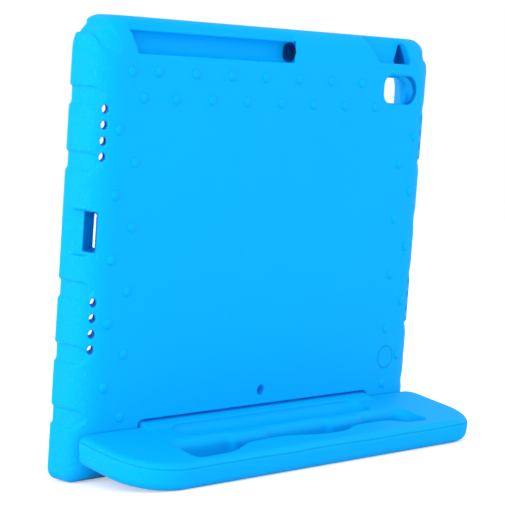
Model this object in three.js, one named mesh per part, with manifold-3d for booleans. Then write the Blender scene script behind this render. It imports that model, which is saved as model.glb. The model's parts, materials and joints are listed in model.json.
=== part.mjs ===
// A foam case for a tablet, standing on the handle that folds out behind it.
// Millimetres, +Z up. The screen side faces -Y and the stand reaches towards +Y.
import * as THREE from "three";
import { mergeVertices } from "three/addons/utils/BufferGeometryUtils.js";
import Module from "manifold-3d";

const wasm = await Module();
wasm.setup();

// The tablet that the case holds
const TABLET_LENGTH = 247.6;
const TABLET_HEIGHT = 178.5;
const TABLET_THICKNESS = 5.9;
const TABLET_CORNER = 18;
const TABLET_CLEARANCE = 0.3;

// The case's own walls, measured outwards from the tablet
const SIDE_WALL = 13.2;
const TOP_WALL = 22.25;
const BOTTOM_WALL = 46.25;
const BACK_WALL = 3;
const BEZEL_THICKNESS = 16.4;
const LEAN_DEG = 6.5;

// Roundings of the case
const SHOULDER_WIDTH = 16.5;
const SHOULDER_DEPTH = 10.5;
const TOP_ROUNDING = 8;
const FRONT_ROUNDING = 3.5;
const UPPER_CORNER = 19;
const LOWER_CORNER = 6;
const CORNER_STEPS = 7;
const FRONT_STEPS = 4;
const SHOULDER_STEPS = 8;

// The window over the screen
const SIDE_OVERLAP = 4.4;
const TOP_OVERLAP = 2;
const WINDOW_CORNER = 9;
const BEVEL_WIDTH = 10;
const BEVEL_START = 1.5;
const RIM_NOSE = 2;
const RIM_NOSE_SHARE = 0.3;

// Grip channels that run round both short sides
const GRIP_DEPTH = 1.5;
const GRIP_WIDTH = 10;
const GRIP_PITCH = 33.8;
const GRIP_MIDDLE_Z = 1.5;
const GRIPS_ABOVE = 2;
const GRIPS_BELOW = 3;
const GRIP_END_INSET = 2.3;
const GRIP_REACH = 20;
const CORNER_GRIP_WIDTH = 11;
const CORNER_GRIP_END_INSET = 1.5;

// Stylus trough along the top, with a hole in its end
const TROUGH_LENGTH = 120;
const TROUGH_INSIDE_TABLET_END = 12.8;
const TROUGH_WIDTH = 15.2;
const TROUGH_DEPTH = 12;
const TROUGH_ABOVE_TABLET = 3.2;
const TROUGH_SLANT = 7;
const STYLUS_HOLE_WIDTH = 11.6;
const STYLUS_HOLE_LENGTH = 50;
const STYLUS_HOLE_INSET = 0.6;
const STYLUS_HOLE_DROP = 0.4;

// Button window at the top, beyond the camera
const BUTTON_RECESS_DEPTH = 5;
const BUTTON_RECESS_WIDTH = 29.8;
const BUTTON_INSIDE_TABLET_END = 9.8;
const BUTTON_SILL = 6.8;
const BUTTON_NEAR_SLANT = 17;
const BUTTON_FAR_SLANT = 10.5;
const BUTTON_SLOT_WIDTH = 9.8;
const BUTTON_SLOT_TIP = 2.5;
const BUTTON_SLOT_HEIGHT = 11;
const BUTTON_SLOT_SLANT = 2.5;
const BUTTON_SLOT_DEPTH = 11.5;
const BUTTON_REACH = 2;

// Camera opening
const CAMERA_INSIDE_TABLET_END = 18.3;
const CAMERA_BELOW_TABLET_TOP = 8.8;
const CAMERA_WIDTH = 29;
const CAMERA_HEIGHT = 16;
const CAMERA_INNER_CORNER = 7;
const CAMERA_FLARE = 1.2;

// Charging port opening in one short side
const PORT_Z = -1;
const PORT_HEIGHT = 20.5;
const PORT_SLOT_WIDTH = 8.4;
const PORT_BACK_INSET = 3.2;
const PORT_RECESS_WIDTH = 18;
const PORT_RECESS_HEIGHT = 24;
const PORT_RECESS_DROP = 0.8;
const PORT_RECESS_DEPTH = 4;
const PORT_CORNER = 3;

// Small openings
const SPEAKER_COUNT = 4;
const SPEAKER_PITCH = 8.3;
const SPEAKER_WIDTH = 4.2;
const SPEAKER_OFFSET = 50.5;
const SPEAKER_TILT_DEG = 35;
const SPEAKER_FROM_SIDE = 6.7;
const SPEAKER_BELOW_BACK = 2.4;
const SPEAKER_LENGTH = 18;
const MICROPHONE_WIDTH = 5;
const MICROPHONE_BELOW_TABLET = 5.9;
const MICROPHONE_DEPTH = 7;
const MICROPHONE_DUCT = 3;
const DISC_WIDTH = 14;
const DISC_GROOVE = 0.7;
const DISC_INSIDE_TABLET_END = 13.8;
const DISC_ABOVE_TABLET_BOTTOM = 5.3;

// Raised dots on the back
const DOT_WIDTH = 5.6;
const DOT_HEIGHT = 0.7;
const DOT_PITCH_X = 27.5;
const DOT_PITCH_Z = 33.95;
const DOT_ROW_COUNT = 7;
const DOT_ROW_BELOW_TABLET_TOP = 19.75;
const DOT_UPPER_ROW_RISE = 13.9;
const DOT_ROW_END_STEP = 23.2;
const DOT_COLUMN_INSET = 28;
const DOT_OUTER_COLUMN_INSET = 15.3;
const DOT_COLUMN_COUNT = 5;

// Notch in the lower edge and the hinge in it
const FOOT_WIDTH = 42;
const FOOT_HEIGHT = 32;
const NOTCH_CORNER = 3;
const HINGE_INSET = 14.5;
const FOOT_RADIUS = 17.5;
const PIN_WIDTH = 5;
const PIN_IN_CASE = 12;
const PIN_FLANGE_WIDTH = 11;
const PIN_FLANGE_THICKNESS = 1.2;
const BUSH_WIDTH = 9;
const BUSH_LENGTH = 15;
const GAP = 0.3;

// The handle that serves as the stand
const HANDLE_PAST_CASE = 2.5;
const HANDLE_REACH = 70.36;
const HANDLE_THICKNESS = 15;
const HANDLE_EDGE = 5;
const HANDLE_OUTER_CORNER = 24;
const HANDLE_PORT_SIDE_CORNER = 36;
const HANDLE_INNER_CORNER = 12;
const HANDLE_TOP = 13;
const HANDLE_ROOT = 10;
const HANDLE_FOOT_GAP = 1.5;
const BARREL_RADIUS = 12.6;
const RIM_RISE = 1.8;
const RIM_START = 9;
const RIM_END = 12.8;
const RIM_FOOT = 22;
const BARREL_TURN_DEG = 310;
const TONGUE_SIDE_GAP = 1.8;
const TONGUE_TIP_OVERLAP = 12;
const HOLE_END_MARGIN = 40.5;
const HANDLE_BAR_WIDTH = 8.86;
const HOLE_WIDTH = 20.5;
const HOLE_MIDDLE_RISE = 4.5;
const HOLE_NECK_DEPTH = 10;
const HOLE_NECK_LENGTH = 32;
const HOLE_NECK_OFFSET = 40;
const HOLE_NECK_SHIFT = -4;
const HOLE_INNER_WAVE = 2.2;
const HOLE_CORNER = 6;
const HOLE_SOFTNESS = 5;
const SCOOP_END_MARGIN = 15.2;
const SCOOP_WIDTH = 23;
const SCOOP_DEPTH = 4.5;
const RIB_WIDTH = 6.5;

// How finely curved edges are divided, and how far a cut runs past the face it opens
const EDGE_STEPS = 5;
const BARREL_STEPS = 14;
const ROUND_SIDES = 20;
const SMALL_SIDES = 12;
const DOT_RINGS = 6;
const SCOOP_STEPS = 4;
const SCOOP_SIDES = 18;
const CURVE_STEPS = 4;
const WELD = 1e-4;
const SHARP = 0.01;
const PAST = 1;

const foamBlue = new THREE.Color().setRGB(0, 0.69, 0.97, THREE.SRGBColorSpace);
const handleBlue = new THREE.Color().setRGB(0, 0.67, 0.95, THREE.SRGBColorSpace);
const pinGrey = new THREE.Color().setRGB(0.55, 0.56, 0.58, THREE.SRGBColorSpace);
const bushWhite = new THREE.Color().setRGB(0.85, 0.86, 0.87, THREE.SRGBColorSpace);

// Sizes that follow from the ones above. In the case's frame x is across, y out of
// the back (0 is the back face) and z up, with 0 at the tablet's centre.
const tabletHalf = TABLET_LENGTH / 2;
const tabletTop = TABLET_HEIGHT / 2;
const caseHalf = tabletHalf + SIDE_WALL;
const caseTop = tabletTop + TOP_WALL;
const caseBottom = -tabletTop - BOTTOM_WALL;
const pocketDepth = TABLET_THICKNESS + TABLET_CLEARANCE;
const pocketFront = -BACK_WALL - pocketDepth;
const caseFront = pocketFront - BEZEL_THICKNESS;
const hinge = new THREE.Vector3(0, -HINGE_INSET, caseBottom + FOOT_RADIUS);
const shoulderLine = caseHalf - SHOULDER_WIDTH;
const notchHalf = caseHalf - FOOT_WIDTH;
const notchTop = caseBottom + FOOT_HEIGHT;
const boreRadius = PIN_WIDTH / 2 + GAP;

// Sizes of the handle, measured from the hinge's axis
const handleHalf = caseHalf + HANDLE_PAST_CASE;
const handleInner = FOOT_RADIUS + GAP;
const handleBottom = HANDLE_TOP - HANDLE_THICKNESS;
const rimTop = HANDLE_TOP + RIM_RISE;
const tongueHalf = notchHalf - TONGUE_SIDE_GAP;
const holeHalf = handleHalf - HOLE_END_MARGIN;
const holeOuter = HANDLE_REACH - HANDLE_BAR_WIDTH;
const holeInner = holeOuter - HOLE_WIDTH;
const scoopOuter = holeInner - RIB_WIDTH;

// Turns a closed geometry into a solid that can be joined and cut
function solid(geometry) {
  const bare = geometry.index ? geometry.toNonIndexed() : geometry.clone();
  bare.deleteAttribute("normal");
  bare.deleteAttribute("uv");
  const merged = mergeVertices(bare, WELD);
  const corners = new Uint32Array(merged.index.array);
  if (signedVolume(merged) < 0) {
    corners.reverse();
  }
  const mesh = new wasm.Mesh({
    numProp: 3,
    vertProperties: new Float32Array(merged.attributes.position.array),
    triVerts: corners,
  });
  mesh.merge();
  return new wasm.Manifold(mesh);
}

function signedVolume(geometry) {
  const position = geometry.attributes.position;
  const corner = [new THREE.Vector3(), new THREE.Vector3(), new THREE.Vector3()];
  let sum = 0;
  for (let k = 0; k < geometry.index.count; k += 3) {
    corner.forEach((point, j) => point.fromBufferAttribute(position, geometry.index.array[k + j]));
    sum += corner[0].dot(corner[1].clone().cross(corner[2])) / 6;
  }
  return sum;
}

function geometryOf(body) {
  const mesh = body.getMesh();
  const geometry = new THREE.BufferGeometry();
  geometry.setAttribute("position", new THREE.BufferAttribute(new Float32Array(mesh.vertProperties), 3));
  geometry.setIndex(new THREE.BufferAttribute(new Uint32Array(mesh.triVerts), 1));
  return geometry;
}

// Closed body through a stack of rings that all have the same number of points
function loft(rings) {
  const count = rings[0].length;
  const positions = rings.flat().flatMap((point) => [point.x, point.y, point.z]);
  const triangles = [];
  for (let ring = 0; ring + 1 < rings.length; ring += 1) {
    for (let k = 0; k < count; k += 1) {
      const a = ring * count + k;
      const b = ring * count + (k + 1) % count;
      triangles.push(a, b, b + count, a, b + count, a + count);
    }
  }
  const last = (rings.length - 1) * count;
  for (let k = 1; k + 1 < count; k += 1) {
    triangles.push(0, k + 1, k);
    triangles.push(last, last + k, last + k + 1);
  }
  const geometry = new THREE.BufferGeometry();
  geometry.setAttribute("position", new THREE.Float32BufferAttribute(positions, 3));
  geometry.setIndex(triangles);
  return geometry;
}

// Rounded rectangle as a list of points, counter-clockwise from its right side
function roundedOutline(left, right, low, high, radii, steps = CORNER_STEPS) {
  const limit = Math.min(right - left, high - low) / 2;
  const [lowRight, highRight, highLeft, lowLeft] = radii.map((radius) => Math.min(radius, limit));
  const corners = [
    [right - lowRight, low + lowRight, lowRight, -Math.PI / 2],
    [right - highRight, high - highRight, highRight, 0],
    [left + highLeft, high - highLeft, highLeft, Math.PI / 2],
    [left + lowLeft, low + lowLeft, lowLeft, Math.PI],
  ];
  const points = [];
  for (const [x, z, radius, start] of corners) {
    for (let k = 0; k <= steps; k += 1) {
      const angle = start + (Math.PI / 2) * (k / steps);
      points.push([x + radius * Math.cos(angle), z + radius * Math.sin(angle)]);
    }
  }
  return points;
}

// Prism of an outline in the case's x-z plane, from one depth to another
function caseBlock(outline, from, to, grow = 0) {
  const cx = outline.reduce((sum, point) => sum + point[0], 0) / outline.length;
  const cz = outline.reduce((sum, point) => sum + point[1], 0) / outline.length;
  const ring = (y, extra) => outline.map(([x, z]) => {
    const reach = Math.hypot(x - cx, z - cz) || 1;
    return new THREE.Vector3(x + extra * (x - cx) / reach, y, z + extra * (z - cz) / reach);
  });
  return solid(loft([ring(to, grow), ring(from, 0)]));
}

// Rod along x between two places
function rod(radius, from, to, y, z) {
  const geometry = new THREE.CylinderGeometry(radius, radius, Math.abs(to - from), ROUND_SIDES);
  geometry.rotateZ(Math.PI / 2);
  geometry.translate((from + to) / 2, y, z);
  return solid(geometry);
}

function box(low, high) {
  const size = high.map((value, k) => value - low[k]);
  const geometry = new THREE.BoxGeometry(...size);
  geometry.translate(...low.map((value, k) => value + size[k] / 2));
  return solid(geometry);
}

// How far the case's outline is drawn in at one depth: at its sides, top and foot
function drawnIn(y) {
  const quarter = (width, depth) => {
    const t = Math.min(Math.max((y + depth) / depth, 0), 1);
    return width * (1 - Math.sqrt(1 - t * t));
  };
  const nose = Math.max(caseFront + FRONT_ROUNDING - y, 0);
  const front = FRONT_ROUNDING - Math.sqrt(Math.max(FRONT_ROUNDING ** 2 - nose ** 2, 0));
  const behind = Math.max(y - hinge.y, 0);
  return {
    side: front + quarter(SHOULDER_WIDTH, SHOULDER_DEPTH),
    top: front + quarter(TOP_ROUNDING, TOP_ROUNDING),
    foot: front + FOOT_RADIUS - Math.sqrt(FOOT_RADIUS ** 2 - behind ** 2),
  };
}

// The case's outer form, or the same form with its outline drawn in all round
function pillow(inset) {
  const depths = [];
  for (let k = 0; k <= FRONT_STEPS; k += 1) {
    depths.push(caseFront + FRONT_ROUNDING * (1 - Math.cos((Math.PI / 2) * (k / FRONT_STEPS))));
  }
  for (let k = 0; k <= SHOULDER_STEPS; k += 1) {
    depths.push(-SHOULDER_DEPTH * (1 - Math.sin((Math.PI / 2) * (k / SHOULDER_STEPS))));
  }
  const rings = depths.map((y) => {
    const draw = drawnIn(y);
    const half = caseHalf - draw.side - inset;
    const low = caseBottom + draw.foot + inset;
    const high = caseTop - draw.top - inset;
    const radii = [LOWER_CORNER, UPPER_CORNER, UPPER_CORNER, LOWER_CORNER];
    return roundedOutline(-half, half, low, high, radii).map(([x, z]) => new THREE.Vector3(x, y, z));
  });
  return solid(loft(rings.reverse()));
}

// Band across a side wall: a bar lying along the outward direction, round at its back end
function gripBand(width, backEnd, outward, centre) {
  const radii = [SHARP, width / 2, width / 2, SHARP];
  const outline = roundedOutline(-width / 2, width / 2, caseFront - PAST, backEnd, radii, EDGE_STEPS);
  const ring = (reach) => outline.map(([s, y]) => new THREE.Vector3(reach, y, s));
  const geometry = loft([ring(-GRIP_REACH), ring(GRIP_REACH)]);
  geometry.rotateY(-outward);
  geometry.translate(centre[0], 0, centre[1]);
  return solid(geometry);
}

// The band opposite the port is as wide as the port's recess
function gripBands() {
  const bands = [];
  for (const side of [1, -1]) {
    const outward = side === 1 ? 0 : Math.PI;
    for (let k = -GRIPS_BELOW; k <= GRIPS_ABOVE; k += 1) {
      const width = k === 0 ? PORT_RECESS_HEIGHT : GRIP_WIDTH;
      if (k !== 0 || side === -1) {
        const centre = [side * caseHalf, GRIP_MIDDLE_Z + k * GRIP_PITCH];
        bands.push(gripBand(width, -GRIP_END_INSET, outward, centre));
      }
    }
    const diagonal = side === 1 ? Math.PI / 4 : (3 * Math.PI) / 4;
    const arcMiddle = UPPER_CORNER * (1 - Math.SQRT1_2);
    const corner = [side * (caseHalf - arcMiddle), caseTop - arcMiddle];
    bands.push(gripBand(CORNER_GRIP_WIDTH, -CORNER_GRIP_END_INSET, diagonal, corner));
  }
  return bands.reduce((sum, band) => sum.add(band));
}

// Raised dot on the back, tilted where the back curves away at the shoulder
function dot(x, z) {
  const past = Math.max(Math.abs(x) - shoulderLine, 0) / SHOULDER_WIDTH;
  const rest = Math.sqrt(1 - past * past);
  const slope = Math.atan2(SHOULDER_DEPTH * past, SHOULDER_WIDTH * rest);
  const geometry = new THREE.SphereGeometry(1, SMALL_SIDES, DOT_RINGS);
  geometry.rotateX(Math.PI / 2);
  geometry.scale(DOT_WIDTH / 2, DOT_HEIGHT, DOT_WIDTH / 2);
  geometry.rotateZ(-Math.sign(x) * slope);
  geometry.translate(x, -SHOULDER_DEPTH * (1 - rest), z);
  return solid(geometry);
}

function dots() {
  const rowZ = tabletTop - DOT_ROW_BELOW_TABLET_TOP;
  const rowStart = DOT_PITCH_X * (DOT_ROW_COUNT - 1) / 2;
  const list = [[rowStart + DOT_ROW_END_STEP, rowZ]];
  for (let k = 0; k < DOT_ROW_COUNT; k += 1) {
    const x = rowStart - k * DOT_PITCH_X;
    list.push([x, rowZ]);
    list.push([x + DOT_PITCH_X / 2, rowZ + DOT_UPPER_ROW_RISE]);
  }
  for (let k = 1; k <= DOT_COLUMN_COUNT; k += 1) {
    const z = rowZ - k * DOT_PITCH_Z;
    for (const side of [1, -1]) {
      list.push([side * (caseHalf - DOT_COLUMN_INSET), z]);
      list.push([side * (caseHalf - DOT_OUTER_COLUMN_INSET), z + DOT_PITCH_Z / 2]);
    }
  }
  return list.map(([x, z]) => dot(x, z)).reduce((sum, one) => sum.add(one));
}

// Pocket for the tablet and the window in front of its screen
function tabletSpace() {
  const length = tabletHalf + TABLET_CLEARANCE;
  const height = tabletTop + TABLET_CLEARANCE;
  const corners = Array(4).fill(TABLET_CORNER);
  const walls = roundedOutline(-length, length, -height, height, corners);
  const pocket = caseBlock(walls, pocketFront, -BACK_WALL);
  const step = (y, extra) => {
    const across = tabletHalf - SIDE_OVERLAP + extra;
    const up = tabletTop - TOP_OVERLAP + extra;
    const radii = Array(4).fill(WINDOW_CORNER + extra);
    return roundedOutline(-across, across, -up, up, radii).map(([x, z]) => new THREE.Vector3(x, y, z));
  };
  const window = solid(loft([
    step(-BACK_WALL - pocketDepth / 2, 0),
    step(pocketFront - BEVEL_START, 0),
    step(caseFront + RIM_NOSE, BEVEL_WIDTH),
    step(caseFront + RIM_NOSE * RIM_NOSE_SHARE, BEVEL_WIDTH + RIM_NOSE * RIM_NOSE_SHARE),
    step(caseFront - PAST, BEVEL_WIDTH + RIM_NOSE),
  ]));
  return pocket.add(window);
}

// Half-round trough for a stylus, with the hole that takes its end
function stylusRest() {
  const low = tabletTop + TROUGH_ABOVE_TABLET;
  const radius = TROUGH_WIDTH / 2;
  const end = tabletHalf - TROUGH_INSIDE_TABLET_END;
  const start = end - TROUGH_LENGTH;
  const radii = [SHARP, SHARP, radius, radius];
  const section = roundedOutline(-TROUGH_DEPTH, PAST, low, low + TROUGH_WIDTH, radii, SHOULDER_STEPS);
  const ring = (x, slant) => section.map(([y, z]) => {
    const shift = slant * (z - low) / TROUGH_WIDTH;
    return new THREE.Vector3(x + shift, y, z);
  });
  const trough = solid(loft([ring(start, 0), ring(end, TROUGH_SLANT)]));
  const holeRadius = STYLUS_HOLE_WIDTH / 2;
  const holeDepth = -STYLUS_HOLE_INSET - holeRadius;
  const holeZ = low + radius - STYLUS_HOLE_DROP;
  return trough.add(rod(holeRadius, start - STYLUS_HOLE_LENGTH, start + PAST, holeDepth, holeZ));
}

// Slanted recess for the buttons, open at the top, with a deeper slot at its far end
function buttonWindow() {
  const low = tabletTop + BUTTON_SILL;
  const high = caseTop + PAST;
  const far = -tabletHalf + BUTTON_INSIDE_TABLET_END;
  const near = far + BUTTON_RECESS_WIDTH;
  const recess = [[far, low], [far + BUTTON_FAR_SLANT, high], [near + BUTTON_NEAR_SLANT, high], [near, low]];
  const slotNear = far + BUTTON_SLOT_WIDTH;
  const slotTop = slotNear - BUTTON_SLOT_SLANT;
  const slotHigh = low + BUTTON_SLOT_HEIGHT;
  const slot = [[far, low], [slotTop - BUTTON_SLOT_TIP, slotHigh], [slotTop, slotHigh], [slotNear, low]];
  const duct = box(
    [far + PAST, pocketFront + GAP, tabletTop - BUTTON_REACH],
    [slotNear - PAST, -BACK_WALL - GAP, low + PAST],
  );
  const shallow = caseBlock(recess, -BUTTON_RECESS_DEPTH, PAST);
  return shallow.add(caseBlock(slot, -BUTTON_SLOT_DEPTH, PAST)).add(duct);
}

function cameraOpening() {
  const x = -tabletHalf + CAMERA_INSIDE_TABLET_END;
  const z = tabletTop - CAMERA_BELOW_TABLET_TOP;
  const across = CAMERA_WIDTH / 2;
  const up = CAMERA_HEIGHT / 2;
  const radii = [CAMERA_INNER_CORNER, CAMERA_INNER_CORNER, up, up];
  const outline = roundedOutline(x - across, x + across, z - up, z + up, radii);
  return caseBlock(outline, -BACK_WALL - PAST, PAST, CAMERA_FLARE);
}

function portOpening() {
  const outside = caseHalf + PAST;
  const sideBlock = (from, width, height, z) => {
    const back = -PORT_BACK_INSET;
    const corners = Array(4).fill(PORT_CORNER);
    const outline = roundedOutline(back - width, back, z - height / 2, z + height / 2, corners, EDGE_STEPS);
    const ring = (x) => outline.map(([y, up]) => new THREE.Vector3(x, y, up));
    return solid(loft([ring(from), ring(outside)]));
  };
  const slot = sideBlock(tabletHalf - PAST, PORT_SLOT_WIDTH, PORT_HEIGHT, PORT_Z);
  const floor = caseHalf - PORT_RECESS_DEPTH;
  return slot.add(sideBlock(floor, PORT_RECESS_WIDTH, PORT_RECESS_HEIGHT, PORT_Z - PORT_RECESS_DROP));
}

// Round holes through the shoulders, aimed at the tablet's edge
function speakerOpenings() {
  const turn = Math.PI / 2 - THREE.MathUtils.degToRad(SPEAKER_TILT_DEG);
  const radius = SPEAKER_WIDTH / 2;
  const list = [];
  for (const side of [1, -1]) {
    for (const group of [1, -1]) {
      for (let k = 0; k < SPEAKER_COUNT; k += 1) {
        const z = group * SPEAKER_OFFSET + (k - (SPEAKER_COUNT - 1) / 2) * SPEAKER_PITCH;
        const geometry = new THREE.CylinderGeometry(radius, radius, SPEAKER_LENGTH, SMALL_SIDES);
        geometry.rotateZ(-side * turn);
        geometry.translate(side * (caseHalf - SPEAKER_FROM_SIDE), -SPEAKER_BELOW_BACK, z);
        list.push(solid(geometry));
      }
    }
  }
  return list.reduce((sum, one) => sum.add(one));
}

function microphoneOpening() {
  const z = -tabletTop - MICROPHONE_BELOW_TABLET;
  const radius = MICROPHONE_WIDTH / 2;
  const geometry = new THREE.CylinderGeometry(radius, radius, MICROPHONE_DEPTH + PAST, ROUND_SIDES);
  geometry.translate(0, (PAST - MICROPHONE_DEPTH) / 2, z);
  const duct = box(
    [-MICROPHONE_DUCT / 2, -MICROPHONE_DEPTH, z],
    [MICROPHONE_DUCT / 2, -BACK_WALL - PAST, -tabletTop + PAST],
  );
  return solid(geometry).add(duct);
}

// Round outline of a flush disc, as a fine groove
function discGroove() {
  const outer = DISC_WIDTH / 2;
  const inner = outer - DISC_GROOVE;
  const floor = -DISC_GROOVE;
  const profile = [[inner, floor], [outer, floor], [outer, PAST], [inner, PAST], [inner, floor]];
  const geometry = new THREE.LatheGeometry(profile.map(([r, y]) => new THREE.Vector2(r, y)), ROUND_SIDES);
  geometry.translate(-tabletHalf + DISC_INSIDE_TABLET_END, 0, -tabletTop + DISC_ABOVE_TABLET_BOTTOM);
  return solid(geometry);
}

// Cut-out in the lower edge that the handle's tongue turns in
function hingeNotch() {
  const radii = [SHARP, NOTCH_CORNER, NOTCH_CORNER, SHARP];
  const outline = roundedOutline(-notchHalf, notchHalf, caseBottom - NOTCH_CORNER, notchTop, radii);
  return caseBlock(outline, caseFront - PAST, PAST);
}

function pinSockets() {
  const reach = notchHalf + PIN_IN_CASE + GAP;
  return rod(boreRadius, -reach, reach, hinge.y, hinge.z);
}

function caseBody() {
  const outer = pillow(0);
  const core = pillow(GRIP_DEPTH);
  return outer
    .subtract(gripBands().subtract(core))
    .add(dots())
    .subtract(tabletSpace())
    .subtract(stylusRest())
    .subtract(buttonWindow())
    .subtract(cameraOpening())
    .subtract(portOpening())
    .subtract(speakerOpenings())
    .subtract(microphoneOpening())
    .subtract(discGroove())
    .subtract(hingeNotch())
    .subtract(pinSockets());
}

// The handle is drawn with x across, y from the hinge outwards and z out of its top face.
// Its inner face is hollowed to turn about the feet.
function handleSlab() {
  const levels = [];
  for (let k = 0; k <= EDGE_STEPS; k += 1) {
    const angle = (Math.PI / 2) * (k / EDGE_STEPS);
    levels.push([handleBottom + HANDLE_EDGE * (1 - Math.cos(angle)), HANDLE_EDGE * (1 - Math.sin(angle))]);
  }
  for (let k = 0; k <= EDGE_STEPS; k += 1) {
    const angle = (Math.PI / 2) * (k / EDGE_STEPS);
    levels.push([HANDLE_TOP - HANDLE_EDGE * (1 - Math.sin(angle)), HANDLE_EDGE * (1 - Math.cos(angle))]);
  }
  const radii = [HANDLE_INNER_CORNER, HANDLE_PORT_SIDE_CORNER, HANDLE_OUTER_CORNER, HANDLE_INNER_CORNER];
  const slab = solid(loft(levels.map(([z, inset]) => {
    const half = handleHalf - inset;
    const outline = roundedOutline(-half, half, HANDLE_ROOT + inset, HANDLE_REACH - inset, radii);
    return outline.map(([x, y]) => new THREE.Vector3(x, y, z));
  })));
  const past = handleHalf + PAST;
  return slab.subtract(rod(FOOT_RADIUS + HANDLE_FOOT_GAP, -past, past, 0, 0));
}

// Tongue with the barrel that turns in the notch and a low rim that closes the gap above it
function handleTongue() {
  const tip = handleInner + TONGUE_TIP_OVERLAP;
  const section = [[RIM_FOOT, HANDLE_TOP], [RIM_END, rimTop], [RIM_START, rimTop]];
  const underside = THREE.MathUtils.degToRad(BARREL_TURN_DEG) - Math.PI / 2;
  for (let k = 0; k <= BARREL_STEPS; k += 1) {
    const angle = Math.PI / 2 + underside * (k / BARREL_STEPS);
    section.push([BARREL_RADIUS * Math.cos(angle), BARREL_RADIUS * Math.sin(angle)]);
  }
  section.push([tip, handleBottom], [tip, HANDLE_TOP]);
  const ring = (x) => section.map(([y, z]) => new THREE.Vector3(x, y, z));
  return solid(loft([ring(-tongueHalf), ring(tongueHalf)]));
}

// Hand hole: a long opening with three bays and two necks between them
function handHole() {
  const shape = new THREE.Shape();
  const soft = HOLE_SOFTNESS;
  const neck = holeOuter - HOLE_NECK_DEPTH;
  const wave = holeInner + HOLE_INNER_WAVE;
  const half = HOLE_NECK_LENGTH / 2;
  const middleBay = holeOuter - HOLE_MIDDLE_RISE;
  shape.moveTo(-holeHalf + HOLE_CORNER, holeOuter);
  for (const side of [-1, 1]) {
    const from = side * HOLE_NECK_OFFSET + HOLE_NECK_SHIFT - half;
    const to = from + HOLE_NECK_LENGTH;
    const before = side < 0 ? holeOuter : middleBay;
    const after = side < 0 ? middleBay : holeOuter;
    shape.lineTo(from - soft, before);
    shape.bezierCurveTo(from - soft / 2, before, from - soft / 2, neck, from + soft / 2, neck);
    shape.lineTo(to - soft / 2, neck);
    shape.bezierCurveTo(to + soft / 2, neck, to + soft / 2, after, to + soft, after);
  }
  shape.lineTo(holeHalf - HOLE_CORNER, holeOuter);
  shape.quadraticCurveTo(holeHalf, holeOuter, holeHalf, holeOuter - HOLE_CORNER);
  shape.quadraticCurveTo(holeHalf - HOLE_CORNER, holeInner, holeHalf - 3 * HOLE_CORNER, holeInner);
  for (const side of [1, -1]) {
    const from = side * HOLE_NECK_OFFSET + HOLE_NECK_SHIFT + half;
    const to = from - HOLE_NECK_LENGTH;
    shape.lineTo(from + soft / 2, holeInner);
    shape.bezierCurveTo(from, holeInner, from, wave, from - soft / 2, wave);
    shape.lineTo(to + soft / 2, wave);
    shape.bezierCurveTo(to, wave, to, holeInner, to - soft / 2, holeInner);
  }
  shape.lineTo(-holeHalf + 3 * HOLE_CORNER, holeInner);
  shape.quadraticCurveTo(-holeHalf + HOLE_CORNER, holeInner, -holeHalf, holeOuter - HOLE_CORNER);
  shape.quadraticCurveTo(-holeHalf, holeOuter, -holeHalf + HOLE_CORNER, holeOuter);
  const depth = HANDLE_THICKNESS + 2 * PAST;
  const settings = { depth, bevelEnabled: false, curveSegments: CURVE_STEPS };
  const geometry = new THREE.ExtrudeGeometry(shape, settings);
  geometry.translate(0, 0, handleBottom - PAST);
  return solid(geometry);
}

// Long shallow scoop in the top face beside the hinge
function handleScoop() {
  const radius = SCOOP_WIDTH / 2;
  const straight = 2 * (tongueHalf - SCOOP_END_MARGIN - radius);
  const geometry = new THREE.CapsuleGeometry(radius, straight, SCOOP_STEPS, SCOOP_SIDES);
  geometry.rotateZ(Math.PI / 2);
  geometry.scale(1, 1, SCOOP_DEPTH / radius);
  geometry.translate(0, scoopOuter - radius, HANDLE_TOP);
  return solid(geometry);
}

function bushBores() {
  const from = tongueHalf - BUSH_LENGTH - GAP;
  const radius = BUSH_WIDTH / 2 + GAP;
  return rod(radius, from, tongueHalf + PAST, 0, 0).add(rod(radius, -tongueHalf - PAST, -from, 0, 0));
}

function handleStand() {
  return handleSlab().add(handleTongue()).subtract(handHole()).subtract(handleScoop()).subtract(bushBores());
}

// Plastic pin with a thin flange that sits between the case and the tongue
function hingePin(side) {
  const flangeStart = tongueHalf + GAP;
  const flangeEnd = flangeStart + PIN_FLANGE_THICKNESS;
  const start = tongueHalf - BUSH_LENGTH;
  const end = notchHalf + PIN_IN_CASE;
  const shaft = PIN_WIDTH / 2;
  const flange = PIN_FLANGE_WIDTH / 2;
  const near = [[0, start], [shaft, start], [shaft, flangeStart], [flange, flangeStart]];
  const far = [[flange, flangeEnd], [shaft, flangeEnd], [shaft, end], [0, end]];
  return turnedAcross(near.concat(far), side);
}

// Plastic sleeve in the tongue's end that the pin turns in
function hingeBush(side) {
  const far = tongueHalf - GAP;
  const near = tongueHalf - BUSH_LENGTH;
  const outer = BUSH_WIDTH / 2;
  const profile = [[boreRadius, near], [outer, near], [outer, far], [boreRadius, far], [boreRadius, near]];
  return turnedAcross(profile, side);
}

// Turned body about the hinge's axis, on one side of the case
function turnedAcross(profile, side) {
  const geometry = new THREE.LatheGeometry(profile.map(([r, y]) => new THREE.Vector2(r, y)), ROUND_SIDES);
  geometry.rotateZ(side * -Math.PI / 2);
  return solid(geometry);
}

function piece(name, body, color, roughness) {
  const material = new THREE.MeshStandardMaterial({ color, roughness, metalness: 0 });
  const mesh = new THREE.Mesh(geometryOf(body), material);
  mesh.name = name;
  return mesh;
}

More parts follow.
